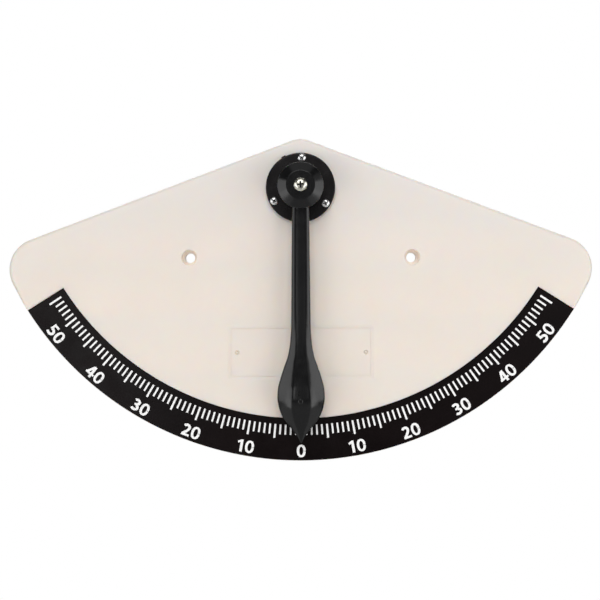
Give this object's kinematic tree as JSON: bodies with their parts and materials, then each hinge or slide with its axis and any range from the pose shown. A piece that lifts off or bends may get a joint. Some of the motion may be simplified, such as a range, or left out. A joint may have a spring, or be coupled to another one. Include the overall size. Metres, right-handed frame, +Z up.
{
  "type": "marine clinometer",
  "caption": "Bulkhead clinometer: a sector-shaped moulded plate with a printed arc scale of heel and a free-swinging pendulum on a flanged bearing pivot.",
  "frame": {"origin": "on the bulkhead plane at the back of the base plate, midway between the axes of the two mounting screws", "axes": "+Z up, -Y out of the front of the instrument towards the viewer, +Y into the bulkhead, +X to the viewer's right"},
  "size_m": [0.3498, 0.0395, 0.1931],
  "materials": {
    "cream_plastic": "smooth moulded, soft sheen",
    "scale_black": "satin, printed in white",
    "black_plastic": "glossy moulded",
    "nickel": "nickel plated, bright",
    "bearing_steel": "ground",
    "cage_steel": "pressed",
    "brass": "turned",
    "iron": "as cast"
  },
  "bodies": {
    "base": {"base_plate": "cream_plastic", "scale_band": "scale_black", "pivot_flange": "black_plastic", "flange_screw_top": "nickel", "flange_screw_left": "nickel", "flange_screw_right": "nickel", "front_bearing_outer_ring": "bearing_steel", "front_bearing_shield_outer": "cage_steel", "front_bearing_shield_inner": "cage_steel", "rear_bearing_outer_ring": "bearing_steel", "rear_bearing_shield_outer": "cage_steel", "rear_bearing_shield_inner": "cage_steel"},
    "pendulum": {"pendulum_body": "black_plastic", "pendulum_back_cover": "black_plastic", "bob_weight": "iron", "cover_screw_upper": "nickel", "cover_screw_lower": "nickel", "hub_bush": "brass", "centre_screw": "nickel", "front_bearing_inner_ring": "bearing_steel", "bearing_spacer": "bearing_steel", "rear_bearing_inner_ring": "bearing_steel", "rear_washer": "nickel", "lock_nut": "nickel"},
    "front_ball_set": {"front_bearing_cage": "cage_steel", "front_bearing_ball_1": "bearing_steel", "front_bearing_ball_2": "bearing_steel", "front_bearing_ball_3": "bearing_steel", "front_bearing_ball_4": "bearing_steel", "front_bearing_ball_5": "bearing_steel", "front_bearing_ball_6": "bearing_steel", "front_bearing_ball_7": "bearing_steel"},
    "rear_ball_set": {"rear_bearing_cage": "cage_steel", "rear_bearing_ball_1": "bearing_steel", "rear_bearing_ball_2": "bearing_steel", "rear_bearing_ball_3": "bearing_steel", "rear_bearing_ball_4": "bearing_steel", "rear_bearing_ball_5": "bearing_steel", "rear_bearing_ball_6": "bearing_steel", "rear_bearing_ball_7": "bearing_steel"}
  },
  "joints": [
    {"name": "pendulum_swing", "type": "hinge", "parent": "base", "child": "pendulum", "pos_m": [0, -0.014, 0.0417], "axis": [0, -1, 0], "continuous": true},
    {"name": "front_ball_set_roll", "type": "hinge", "parent": "base", "child": "front_ball_set", "pos_m": [0, -0.0274, 0.0417], "axis": [0, -1, 0], "continuous": true},
    {"name": "rear_ball_set_roll", "type": "hinge", "parent": "base", "child": "rear_ball_set", "pos_m": [0, -0.0124, 0.0417], "axis": [0, -1, 0], "continuous": true}
  ],
  "couplings": [
    {"joint": "front_ball_set_roll", "follows": "pendulum_swing", "ratio": 0.36},
    {"joint": "rear_ball_set_roll", "follows": "pendulum_swing", "ratio": 0.36}
  ]
}
